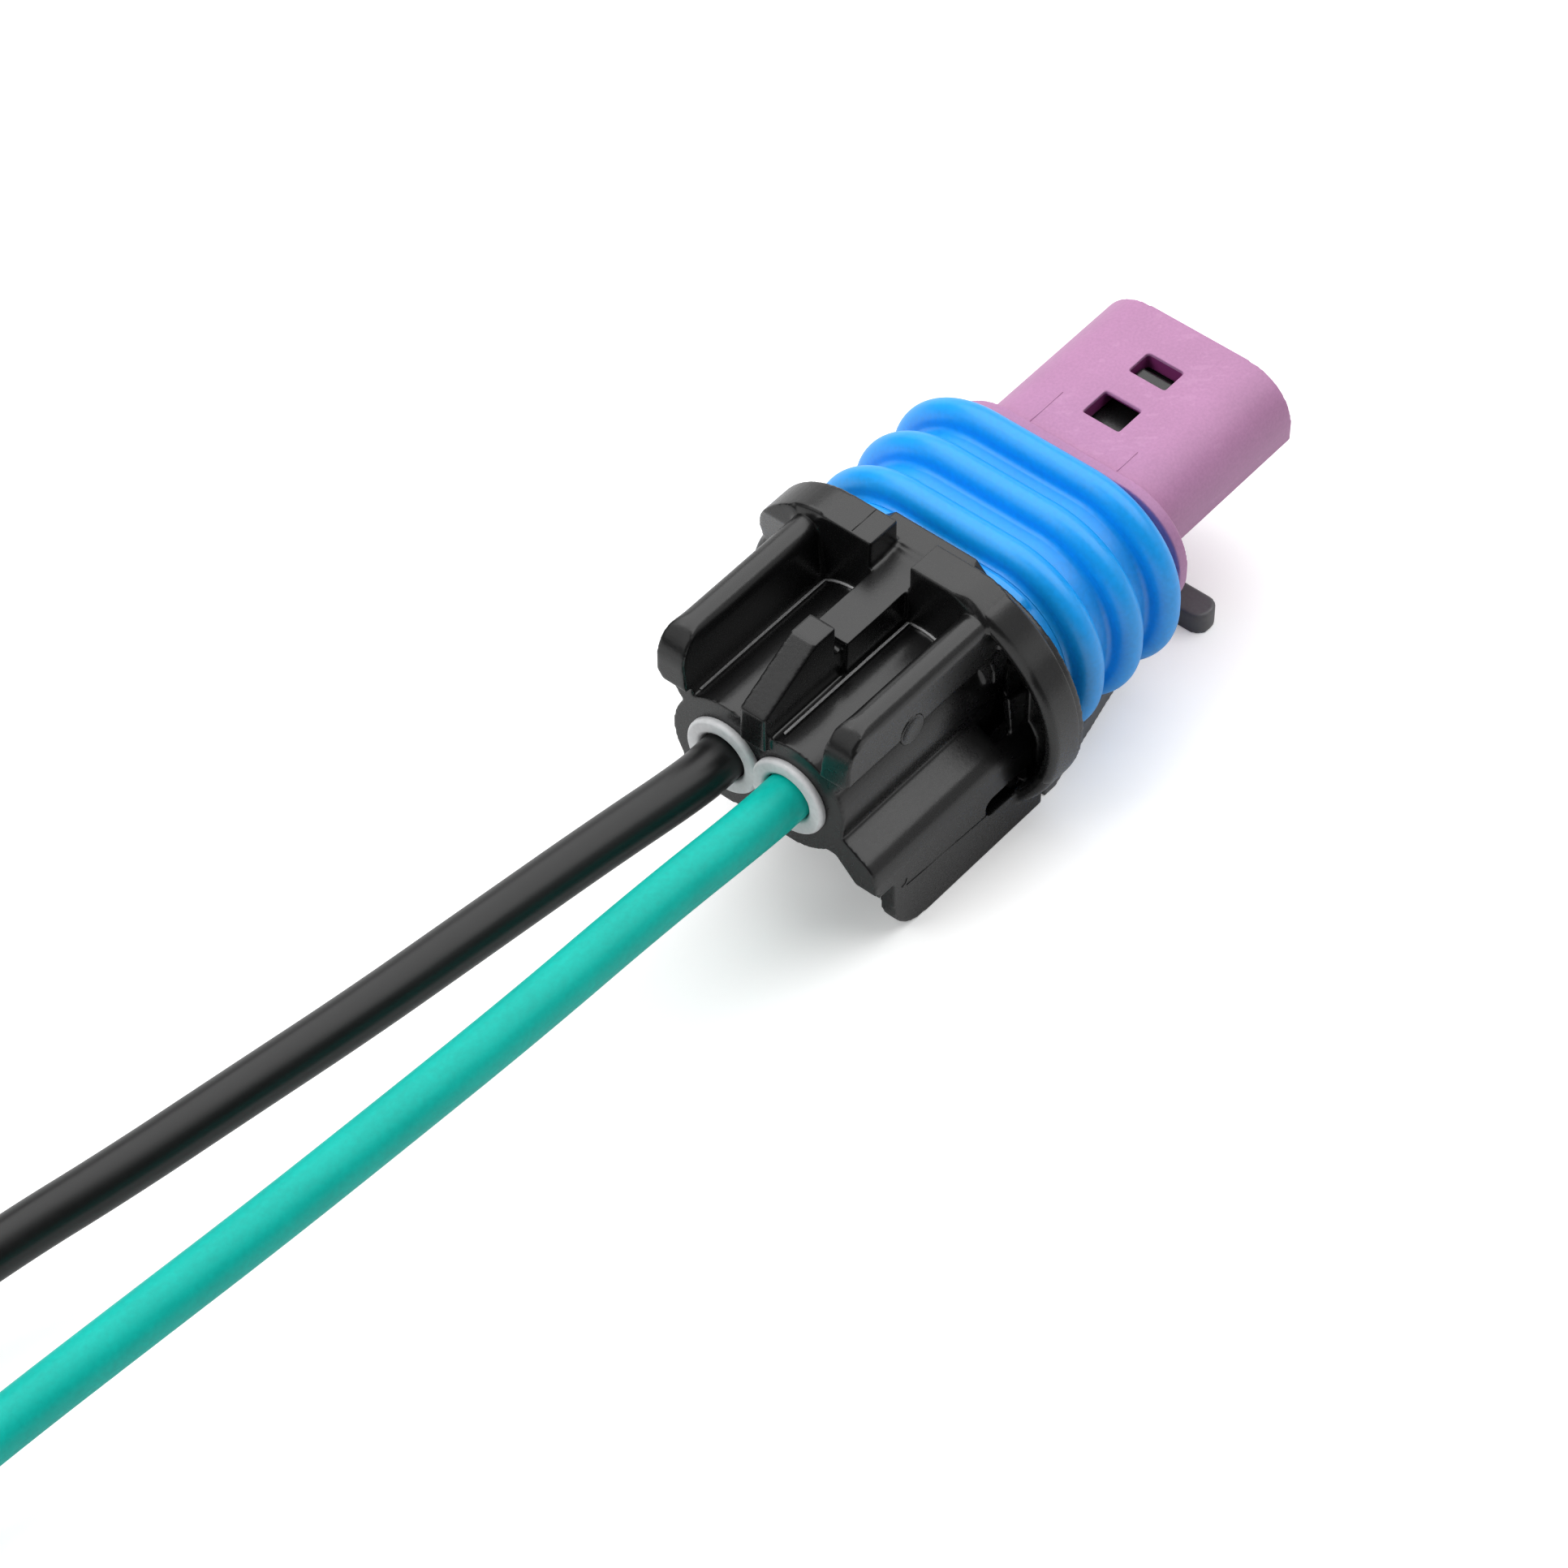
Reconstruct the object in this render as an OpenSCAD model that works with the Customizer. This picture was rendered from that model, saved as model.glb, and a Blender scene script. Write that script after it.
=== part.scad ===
// Sealed two-lead automotive connector: rear housing, lock lever, perimeter seal,
// front retainer, cable seals, crimped terminals and two short leads.
// The connector points along +X, its lock lever is underneath, and it rests on z = 0.

/* [Leads] */
// Outer diameter of each lead
lead_od = 2.7; // [2.2:0.1:2.8]
// Distance between the centres of the two leads
lead_pitch = 4.2; // [4.1:0.1:4.5]
// Height of the leads above the axis of the perimeter seal
lead_rise = 0.4; // [0.2:0.05:0.7]
// Diameter of the bare copper core
core_d = 1.3; // [0.8:0.1:1.5]

/* [Cable seals] */
// Diameter over the ribs of a cable seal, inside its barrel
cable_seal_d = 3.92; // [3.6:0.02:3.96]
// Length of a cable seal inside its barrel
cable_seal_len = 7; // [5:0.5:8]
// Diameter of the lip that shows at the rear
cable_lip_d = 4.7; // [4.4:0.1:5.2]
// Thickness of that lip
cable_lip_t = 0.6; // [0.5:0.1:1]

/* [Terminals] */
// Width and height of the contact box
contact_w = 2.3; // [2:0.1:2.4]
// Length of the contact box
contact_len = 12; // [8:0.5:14]
// Sheet thickness of the terminals
terminal_t = 0.28; // [0.2:0.02:0.35]

/* [Rear body] */
// Length from the rear face of the barrels to the flange
barrel_len = 12.2; // [11:0.2:14]
// Wall of each barrel around its bore
barrel_wall = 1.45; // [1.2:0.05:1.6]
// Distance between the inner faces of the two upright walls
wall_gap = 9.1; // [8.9:0.1:9.7]
// Thickness of each upright wall
wall_t = 1.65; // [1.5:0.05:1.75]
// Height of the upright walls
wall_h = 15.3; // [14.8:0.1:15.6]
// Radius of the rear top corner of the upright walls
wall_corner_r = 2; // [1:0.1:2.4]
// How far the upright walls reach behind the barrels
wall_overhang = 0.45; // [0.2:0.05:0.6]
// Width across the outer faces of the two skirts
skirt_w = 15.2; // [14.8:0.1:16]
// Thickness of each skirt
skirt_t = 0.9; // [0.8:0.1:1.2]
// Radius of the rear lower corner of the skirts
skirt_corner_r = 2.6; // [1.5:0.1:4]
// Height of the outer edge of the roof that carries the skirts
roof_h = 6.2; // [6:0.1:6.6]
// Thickness of that roof
roof_t = 1.4; // [1.2:0.1:1.6]
// How much further forward the left roof and skirt start than the right ones
left_setback = 4; // [0:0.5:5]

/* [Centre rib] */
// Width of the ramp at the rear of the rib
ramp_w = 1.6; // [1.2:0.1:2]
// Height of the top of the ramp
ramp_h = 15.65; // [15.2:0.05:16]
// Width of the flat strip in front of the ramp
strip_w = 2.2; // [1.8:0.1:2.4]
// Height of the flat strip
strip_h = 14.2; // [13.8:0.1:14.4]

/* [Flange] */
// Width of the oval flange
flange_w = 20.1; // [19.4:0.1:21]
// Height of the oval flange
flange_h = 14.4; // [14.2:0.1:15]
// Thickness of the flange
flange_t = 1.4; // [1.3:0.1:2]
// Width of the raised collar on top of the flange
collar_w = 18.2; // [17:0.1:18.6]
// Height of that collar
collar_h = 16; // [15.5:0.1:16.5]
// Thickness of that collar
collar_t = 2.2; // [1.8:0.1:2.6]
// Width of the notch in the collar
notch_w = 2.5; // [2.4:0.1:3]
// How far the rim of each ear reaches behind the flange
rim_back = 0.9; // [0.6:0.1:1.1]
// Thickness of the rim and of the hood above it
rim_t = 0.8; // [0.7:0.05:1]

/* [Perimeter seal] */
// Width over the ribs of the seal
seal_w = 18.5; // [18:0.1:18.8]
// Height over the ribs of the seal
seal_h = 12.7; // [12.4:0.1:12.9]
// Corner radius over the ribs of the seal
seal_r = 6.1; // [5.8:0.05:6.15]
// Length of the seal along the connector
seal_len = 10.7; // [10:0.1:12]
// Height of the ribs
rib_h = 1.3; // [0.9:0.1:1.4]
// Width of each rib
rib_w = 1.7; // [1.2:0.1:1.9]
// Distance between the ribs
rib_pitch = 2.95; // [2.6:0.05:3.05]
// Wall of the seal between the ribs
seal_wall = 1.2; // [1:0.1:1.3]

/* [Front retainer] */
// Length of the retainer
cap_len = 11.87; // [11.2:0.01:13]
// Width of the retainer's sleeve
cap_w = 12.4; // [12.2:0.1:12.8]
// Height of its flat top
cap_top = 12; // [11.9:0.05:12.3]
// Radius of its upper corners
cap_r = 3; // [2.6:0.1:3.2]
// Height where its sides turn in
cap_side_h = 8.1; // [7.8:0.1:8.3]
// Height of its underside
cap_bottom_h = 4.9; // [4.6:0.1:5]
// Wall of the sleeve
cap_wall = 1.1; // [1:0.05:1.2]
// Thickness of the lip behind the sleeve
cap_lip_t = 0.7; // [0.5:0.1:1]
// Width of the lip
cap_lip_w = 15.8; // [15:0.1:16]
// Width of the two windows
window_w = 2.36; // [2:0.02:2.6]
// Length of the front window
window_front_len = 1.7; // [1.5:0.1:1.9]
// Length of the rear window
window_rear_len = 2; // [1.8:0.1:2.2]
// Distance from the front of the sleeve to the front window
window_front_gap = 2.9; // [2.6:0.1:3.2]
// Travel of the retainer from locked to pre-set
cap_travel = 3.8; // [3.6:0.1:4]

/* [Lock lever] */
// Thickness of the lever's plate
lever_t = 1.4; // [1.1:0.1:1.5]
// Width across the lever's shoulders, in front of the flange
lever_shoulder_w = 15; // [14:0.1:15.2]
// Width of the lever where it meets the front bar
lever_neck_w = 8.8; // [8:0.1:9.4]
// Width of the front bar
lever_bar_w = 14; // [12:0.1:14.4]
// Length of the front bar along the connector
lever_bar_len = 1.75; // [1.4:0.05:2]
// Distance from the front of the retainer back to the front bar
lever_setback = 6.45; // [6:0.05:8]
// Radius of the pivot bar
pivot_r = 1; // [0.8:0.1:1.1]

/* [Hidden] */
$fn = 64;
eps = 0.02;              // overlap where solids of one piece are joined
seal_fit = 0.03;         // clearance between a seal and its seat
slide_fit = 0.08;        // clearance of the retainer on the nose
pivot_fit = 0.06;        // clearance of the pivot bar in its sockets
side_gap = 0.3;          // clearance beside the lever
lever_gap = 0.45;        // clearance between the lever and the seal above it

// Stations along the connector, from the rear to the front
total_len = cable_lip_t + barrel_len + flange_t + seal_len + seal_fit + cap_len;
x_back = -total_len / 2;
x_rear = x_back + cable_lip_t;
x_flange = x_rear + barrel_len;
x_neck = x_flange + flange_t;
x_core = x_neck + seal_len;
x_cap = x_core + seal_fit;
x_front = x_cap + cap_len;
x_collar = x_flange + 0.25 - collar_t;
x_pivot = x_flange - 0.4;
x_bar = x_front - lever_setback - lever_bar_len;

// Bores
axis_h = lever_t + lever_gap + seal_h / 2;
lead_h = axis_h + lead_rise;
seal_bore_r = cable_seal_d / 2 + seal_fit;
barrel_r = seal_bore_r + barrel_wall;
terminal_bore_r = contact_w / 2 * sqrt(2) + 0.12;
seal_bore_len = cable_seal_len + 2.2;

// Sides of the rear body: the waist under the walls, the hip above the roof
waist_y = wall_gap / 2 - 0.2;
waist_h = lead_h + 1.7;
hip_y = waist_y + 0.75;
hip_h = roof_h + 1.9;
bend_y = hip_y + 0.7;
bend_h = roof_h + 1.1;
skirt_y = skirt_w / 2;
inner_y = skirt_y - skirt_t;
skirt_gap = 0.3;
skirt_step = 1.2;
roof_edge_r = 1.6;
wall_edge_r = 0.6;

// The seal's seat
seal_half_y = seal_w / 2 - seal_r;
seal_half_z = seal_h / 2 - seal_r;
valley_r = seal_r - rib_h;
seat_r = valley_r - seal_wall;
first_rib = 2.7;

// The nose and its lug
front_wall = 1;
core_len = cap_len - front_wall - 0.1;
lug_h = 0.75;
lug_len = 1;
lug_w = window_w - 0.26;
x_window_front = x_front - window_front_gap - window_front_len;
x_window_rear = x_window_front - cap_travel - 0.15;
x_lug = x_window_front + 0.05;
blade_w = 1.6;
blade_h = 0.9;

// Terminals and crimps
x_lead_end = x_rear + cable_seal_len + 2.4;
grip_len = 1.6;
core_len_bare = 3.4;
crimp_len = 2.2;
x_contact = x_core + core_len - contact_len - 0.3;

// Lever
pad_gap = 4.4;
pad_len = 3.6;
pad_t = 2;
pad_y = inner_y - side_gap;
x_pad = x_rear + pad_gap;
shoulder_len = 1;
groove_w = 0.8;
groove_depth = 0.4;
catch_len = 5.4;
catch_w = 5.2;
pivot_h = 1.7;
pivot_seat = skirt_t / 2;

// Leads: the points that each one runs through, behind the connector
route_black = [[-26.3, 3.1, 8.4], [-34, 4.3, 8], [-41.2, 5.5, 7.5], [-48.2, 7, 6.9], [-55, 8.5, 6.2],
    [-61.3, 10.2, 5.5], [-69, 11.8, 4.4], [-77, 12.8, 3.2], [-85, 13.2, 2.2], [-93, 13.3, 1.6],
    [-101, 13, 1.4], [-110, 12.5, 1.4], [-119, 11.8, 1.4], [-128, 11, 1.4], [-137, 10, 1.4], [-146, 9, 1.4]];
route_green = [[-27.7, -1.5, 8.4], [-36.7, -1, 8], [-45.2, -0.2, 7.5], [-53.4, 0.7, 6.9], [-61.2, 1.8, 6.2],
    [-68.7, 2.9, 5.4], [-76, 3.9, 4.3], [-84, 4.7, 3], [-92, 5.2, 2.1], [-100, 5.3, 1.5], [-109, 5.2, 1.4],
    [-118, 4.8, 1.4], [-127, 4.2, 1.4], [-136.5, 3.5, 1.4], [-146, 2.8, 1.4]];

// A profile drawn across the connector (y, z), extruded forward from x0
module along_x(x0, len) {
    translate([x0, 0, 0]) rotate([90, 0, 90]) linear_extrude(len) children();
}

// A profile drawn along the connector (x, z), extruded across it from y0
module along_y(y0, len) {
    translate([0, y0 + len, 0]) rotate([90, 0, 0]) linear_extrude(len) children();
}

// The children on both sides of the connector
module both_sides() {
    children();
    mirror([0, 1, 0]) children();
}

// A rectangle with round corners, about its centre
module rounded(w, h, r) {
    square([w - 2 * r, h], center = true);
    square([w, h - 2 * r], center = true);
    for (sx = [-1, 1], sy = [-1, 1]) translate([sx * (w / 2 - r), sy * (h / 2 - r)]) circle(r);
}

// A rectangle with half-round ends, about its centre
module stadium(w, h) {
    square([w - h, h], center = true);
    for (s = [-1, 1]) translate([s * (w - h) / 2, 0]) circle(h / 2);
}

// A profile (distance out, distance forward) swept around a rounded rectangle
// whose corner centres lie half_y and half_z from the middle
module swept(x0, z0, half_y, half_z) {
    translate([x0, 0, z0]) rotate([90, 0, 90]) for (k = [0:3]) {
        run = k % 2 == 0 ? [half_y, half_z] : [half_z, half_y];
        rotate([0, 0, 90 * k]) {
            translate([run.x, run.y, 0]) rotate_extrude(angle = 90) children();
            if (run.x > 0)
                translate([-run.x, run.y, 0]) rotate([90, 0, 90]) linear_extrude(2 * run.x) children();
        }
    }
}

// Section of the nose, set in by t from the outside of the retainer's sleeve
module nose_profile(t) {
    half = cap_w / 2 - t;
    r = cap_r - t;
    top = cap_top - t;
    turn = t * tan(22.5);
    low = cap_w / 2 - (cap_side_h - cap_bottom_h) - turn;
    polygon([[-half, cap_side_h + turn], [-low, cap_bottom_h + t], [low, cap_bottom_h + t],
        [half, cap_side_h + turn], [half, top - r], [half - r, top], [-half + r, top], [-half, top - r]]);
    for (s = [-1, 1]) translate([s * (half - r), top - r]) circle(r);
}

// Section of one side of the rear body: the waist below the wall
module waist_profile() {
    polygon([[-eps, waist_h], [waist_y, waist_h], [hip_y, hip_h], [hip_y - 0.2, roof_h - 0.1],
        [-eps, roof_h - 0.1]]);
}

// Section of one roof, with the hollow bend above it and a round outer edge
module roof_profile() {
    slope = atan2(bend_h - roof_h, skirt_y - bend_y);
    run = roof_edge_r * tan((90 - slope) / 2);
    middle = [skirt_y - roof_edge_r, roof_h - run];
    upper = [skirt_y - run * cos(slope), roof_h + run * sin(slope)];
    lower = [skirt_y, roof_h - run];
    polygon([[hip_y - 1, hip_h], [hip_y, hip_h], [hip_y + 0.25, hip_h - 0.5], [bend_y, bend_h],
        upper, middle, lower, [skirt_y, roof_h - roof_t], [inner_y - 0.4, roof_h - roof_t],
        [hip_y - 0.2, roof_h - 0.1], [hip_y - 1, roof_h - 0.1]]);
    intersection() {
        translate(middle) circle(roof_edge_r);
        polygon([middle - [eps, eps], upper, [skirt_y, roof_h], lower]);
    }
}

// Roof and skirt of one side, starting setback in front of the rear face
module roof_and_skirt(setback) {
    along_x(x_rear + setback, barrel_len + flange_t - setback - eps) roof_profile();
    along_y(inner_y, skirt_t) skirt_profile(setback);
}

// Skirt seen from the side: a band under the roof, a plate set forward below it with a
// round rear corner, and the slot behind the flange
module skirt_profile(setback) {
    slot_x = x_flange - 3.3;
    slot_h = 2.75;
    slot_r = 0.62;
    r = skirt_corner_r;
    top = roof_h - roof_t / 2 - 0.3;
    step_h = roof_h - 1.8;
    band = x_rear + skirt_gap + setback;
    rear = band + skirt_step;
    difference() {
        union() {
            translate([band, step_h]) square([x_neck - band, top - step_h]);
            translate([rear, r]) square([x_neck - rear, step_h - r + eps]);
            translate([rear + r, 0]) square([x_neck - rear - r, r + eps]);
            intersection() {
                translate([rear + r, r]) circle(r);
                translate([rear, 0]) square([r, r]);
            }
        }
        translate([slot_x + slot_r, slot_h]) square([x_flange - slot_x - slot_r, 2 * slot_r]);
        translate([slot_x + slot_r, slot_h + slot_r]) circle(slot_r);
    }
}

// Upright wall: its section, and its outline seen from the side
module wall_section() {
    r = wall_edge_r;
    y = wall_gap / 2;
    outer = y + wall_t;
    polygon([[waist_y - 0.3, waist_h - 0.5], [y, wall_h - r], [y + r, wall_h], [outer - r, wall_h],
        [outer, wall_h - r], [outer, waist_h + 2.1], [waist_y, waist_h - 0.5]]);
    translate([y + r, wall_h - r]) circle(r);
    translate([outer - r, wall_h - r]) circle(r);
}

module wall_outline() {
    r = wall_corner_r;
    rear = x_rear - wall_overhang;
    foot = waist_h + 1.6;
    translate([x_rear, waist_h - 1]) square([x_collar - x_rear + 1, foot - waist_h + 2]);
    translate([rear, foot]) square([x_collar - rear + 1, wall_h - r - foot]);
    translate([rear + r, foot]) square([x_collar - rear - r + 1, wall_h - foot]);
    translate([rear + r, wall_h - r]) circle(r);
}

module upright_wall() {
    rear = x_rear - wall_overhang;
    intersection() {
        along_x(rear - 1, x_collar - rear + 2) wall_section();
        along_y(0, wall_gap) wall_outline();
    }
}

// Centre rib: a ramp that rises to the front, then a lower flat strip into the notch
module centre_rib() {
    x_foot = x_rear - wall_overhang;
    x_top = x_rear + 3.5;
    x_step = x_rear + 5.05;
    foot_h = 13.35;
    base_h = lead_h + 1;
    lip_h = lead_h + cable_lip_d / 2 + 0.1;
    land_h = max(strip_h, flange_h);
    along_y(-ramp_w / 2, ramp_w)
        polygon([[x_rear, base_h], [x_rear, lip_h], [x_foot, lip_h], [x_foot, foot_h], [x_top, ramp_h],
            [x_step, ramp_h], [x_step, base_h]]);
    along_y(-strip_w / 2, strip_w)
        polygon([[x_step + 0.5, base_h], [x_step + 0.5, strip_h], [x_collar + 0.8, strip_h],
            [x_flange + 0.4, land_h], [x_flange + 1, land_h], [x_flange + 1, base_h]]);
    along_y(-ramp_w / 2, ramp_w)
        translate([x_step - 1, base_h]) square([2, strip_h - base_h - 0.5]);
}

// Raised collar on the flange: solid blocks in the middle beside the notch that the centre
// rib runs into, and a hood at each side whose rear edge slants down to the rim, hollow at the right
module collar() {
    corner_r = 5;
    hood_h = collar_h - 2.2;
    foot_h = lead_h + 1.8;
    low_h = lead_h + 1;
    x_face = x_collar + collar_t;
    x_rim = x_flange - rim_back;
    wall_y = wall_gap / 2 + wall_t;
    difference() {
        intersection() {
            along_x(x_collar, collar_t) translate([0, collar_h / 2]) rounded(collar_w, collar_h, corner_r);
            along_y(-collar_w / 2, collar_w) polygon([[x_collar, collar_h], [x_collar, hood_h],
                [x_rim, foot_h], [x_rim, low_h], [x_face, low_h], [x_face, collar_h]]);
        }
        along_x(x_collar - 1, x_flange + flange_t / 2 - x_collar + 1) difference() {
            translate([0, collar_h / 2])
                rounded(collar_w - 2 * rim_t, collar_h - 2 * rim_t, corner_r - rim_t);
            translate([0.2 - wall_y, -1]) square([2 * collar_w, 2 * collar_h]);
        }
        along_x(x_collar - 1, collar_t + 2) translate([-notch_w / 2, strip_h]) square([notch_w, collar_h]);
    }
    along_x(x_collar, collar_t) translate([-wall_gap / 2 - 0.5, low_h])
        square([wall_gap + 1, strip_h - low_h - eps]);
}

// Low land on the flange's rim, in front of the notch
module rim_land() {
    half = 2.6;
    slope = 0.9;
    low_h = flange_h - 0.75;
    top_h = flange_h + 0.1;
    along_x(x_flange + 0.3, flange_t - 0.3 + 0.45)
        polygon([[-half - slope, low_h], [half + slope, low_h], [half, top_h], [-half, top_h]]);
}

// Oval flange: a plate whose rim reaches further back at each ear, with a cored rear face up to the solid left ear
module flange() {
    edge_r = rim_t / 2;
    r = flange_h / 2;
    half = (flange_w - flange_h) / 2;
    depth = flange_t + rim_back;
    wall_y = wall_gap / 2 + wall_t - 0.3;
    difference() {
        swept(x_flange - rim_back, r, half, 0) {
            translate([0, edge_r]) square([r, depth - edge_r]);
            square([r - edge_r, depth]);
            translate([r - edge_r, edge_r]) circle(edge_r);
        }
        along_x(x_flange - rim_back - 1, 1 + rim_back + flange_t / 2) difference() {
            translate([0, r]) stadium(flange_w - 2 * rim_t, flange_h - 2 * rim_t);
            translate([wall_y, -1]) square([flange_w, flange_h + 2]);
        }
        translate([x_flange - rim_back - 1, -wall_y, -1]) cube([rim_back + 1, 2 * wall_y, flange_h + 2]);
    }
}

// Hollow of the right ear, open downwards through the roof behind the flange
module ear_hollow() {
    low_h = roof_h - 2.2;
    translate([x_flange - 1.7, hip_y + 0.5, low_h])
        cube([1.7 + flange_t / 2, skirt_y - hip_y - 0.5 - rim_t, flange_h - low_h]);
}

// Upright web in the hollow of the right ear
module gusset() {
    t = 0.45;
    low_h = roof_h - 2.4;
    along_y(skirt_y - rim_t - t / 2, t) polygon([[x_flange - 0.3, low_h], [x_neck - eps, low_h],
        [x_neck - eps, waist_h - 1.6], [x_flange - 1, waist_h - 0.8]]);
}

module connector_housing() {
    color([0.16, 0.16, 0.17]) difference() {
        union() {
            both_sides() {
                translate([x_rear, lead_pitch / 2, lead_h]) rotate([0, 90, 0])
                    cylinder(r = barrel_r, h = barrel_len + flange_t);
                along_x(x_rear, barrel_len + flange_t - eps) waist_profile();
                upright_wall();
            }
            mirror([0, 1, 0]) gusset();
            difference() {
                union() {
                    roof_and_skirt(left_setback);
                    mirror([0, 1, 0]) roof_and_skirt(0);
                }
                mirror([0, 1, 0]) ear_hollow();
            }
            centre_rib();
            collar();
            flange();
            rim_land();
            along_x(x_neck - flange_t / 2, seal_len + flange_t / 2) translate([0, axis_h])
                rounded(2 * (seal_half_y + seat_r - seal_fit), 2 * (seal_half_z + seat_r - seal_fit),
                    seat_r - seal_fit);
            along_x(x_core - 1, core_len + 1) nose_profile(cap_wall + slide_fit);
            translate([x_lug, -lug_w / 2, cap_top - cap_wall - 1]) cube([lug_len, lug_w, 1 - slide_fit + lug_h]);
        }
        both_sides() {
            translate([x_rear - 1, lead_pitch / 2, lead_h]) rotate([0, 90, 0])
                cylinder(r = seal_bore_r, h = seal_bore_len + 1);
            translate([x_rear, lead_pitch / 2, lead_h]) rotate([0, 90, 0])
                cylinder(r = terminal_bore_r, h = total_len);
            translate([x_pivot, inner_y - 1, pivot_h]) rotate([-90, 0, 0])
                cylinder(r = pivot_r + pivot_fit, h = 1 + pivot_seat + pivot_fit);
        }
        translate([x_flange - rim_back - 0.2, -inner_y, -1])
            cube([flange_t + rim_back + 1, 2 * inner_y, 1 + pivot_h + pivot_r + side_gap]);
    }
}

// Plan of the lever: thumb pad, shoulders, tapering arm and front bar with round ends
module lever_plan() {
    x_shoulder = x_neck + side_gap + 0.1;
    pad_r = 1.5;
    difference() {
        union() {
            translate([x_pad + pad_r, -pad_y]) square([x_shoulder - x_pad - pad_r + eps, 2 * pad_y]);
            translate([x_pad, -pad_y + pad_r]) square([2 * pad_r, 2 * (pad_y - pad_r)]);
            for (s = [-1, 1]) translate([x_pad + pad_r, s * (pad_y - pad_r)]) circle(pad_r);
            polygon([for (s = [-1, 1]) each
                [[s < 0 ? x_shoulder : x_bar + eps, s * (s < 0 ? lever_shoulder_w : lever_neck_w) / 2],
                 [x_shoulder + shoulder_len, s * lever_shoulder_w / 2],
                 [s < 0 ? x_bar + eps : x_shoulder, s * (s < 0 ? lever_neck_w : lever_shoulder_w) / 2]]]);
            translate([x_bar + lever_bar_len / 2, 0]) rounded(lever_bar_len, lever_bar_w, lever_bar_len * 0.45);
        }
        translate([x_bar - catch_len, -catch_w / 2]) square([catch_len, catch_w]);
    }
}

module lock_lever() {
    color([0.18, 0.18, 0.19]) difference() {
        union() {
            linear_extrude(lever_t) lever_plan();
            translate([x_pad + 1.5, -pad_y, lever_t - eps]) cube([pad_len, 2 * pad_y, pad_t - lever_t + eps]);
            translate([x_pivot, -inner_y - pivot_seat, pivot_h]) rotate([-90, 0, 0])
                cylinder(r = pivot_r, h = 2 * (inner_y + pivot_seat));
        }
        for (k = [0:2]) translate([x_pad + 1.4 + k * 2 * groove_w, -pad_y - 1, -1])
            cube([groove_w, 2 * pad_y + 2, 1 + groove_depth]);
    }
}

module perimeter_seal() {
    color([0.05, 0.52, 0.93]) swept(x_neck, axis_h, seal_half_y, seal_half_z) {
        translate([seat_r, 0]) square([seal_wall, seal_len]);
        for (k = [0:2]) translate([0, first_rib + k * rib_pitch]) {
            translate([valley_r - eps, -rib_w / 2]) square([rib_h - rib_w / 2 + eps, rib_w]);
            translate([seal_r - rib_w / 2, 0]) circle(rib_w / 2);
        }
    }
}

module front_retainer() {
    groove_w = lug_w + 0.2;
    lip_h = 2 * (cap_top - axis_h) + 0.9;
    lip_r = lip_h / 2 - 0.1;
    color([0.72, 0.5, 0.7]) difference() {
        union() {
            along_x(x_cap, cap_len) nose_profile(0);
            along_x(x_cap, cap_lip_t) translate([0, axis_h]) rounded(cap_lip_w, lip_h, lip_r);
        }
        along_x(x_cap - 1, cap_len - front_wall + 1) nose_profile(cap_wall);
        translate([x_window_front, -window_w / 2, axis_h]) cube([window_front_len, window_w, cap_top]);
        translate([x_window_rear, -window_w / 2, axis_h]) cube([window_rear_len, window_w, cap_top]);
        translate([x_window_rear, -groove_w / 2, axis_h])
            cube([x_window_front - x_window_rear + eps, groove_w, cap_top - cap_wall + lug_h - axis_h]);
        both_sides() translate([x_front - 2, (lead_pitch - blade_w) / 2, lead_h - blade_h / 2])
            cube([3, blade_w, blade_h]);
    }
}

// Ribbed sleeve around a lead, with a lip at the rear that is flat towards its neighbour
module cable_seal() {
    bore_r = lead_od / 2 + seal_fit;
    rib_r = cable_seal_d / 2;
    valley = rib_r - 0.22;
    lip_edge = 0.2;
    intersection() {
        translate([x_back, lead_pitch / 2, lead_h]) rotate([0, 90, 0]) rotate_extrude() difference() {
            union() {
                translate([0, lip_edge]) square([cable_lip_d / 2, cable_lip_t - lip_edge]);
                square([cable_lip_d / 2 - lip_edge, cable_lip_t]);
                translate([cable_lip_d / 2 - lip_edge, lip_edge]) circle(lip_edge);
                square([valley, cable_lip_t + cable_seal_len]);
                for (k = [0:2]) translate([0, cable_lip_t + 0.6 + k * cable_seal_len / 3]) square([rib_r, 1.1]);
            }
            translate([-1, -1]) square([bore_r + 1, cable_lip_t + cable_seal_len + 2]);
        }
        translate([x_back - 1, seal_fit / 2, 0]) cube([total_len, lead_pitch * 2, lead_h * 2]);
    }
}

module cable_seal_left() {
    color([0.75, 0.76, 0.77]) cable_seal();
}

module cable_seal_right() {
    color([0.75, 0.76, 0.77]) mirror([0, 1, 0]) cable_seal();
}

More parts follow.
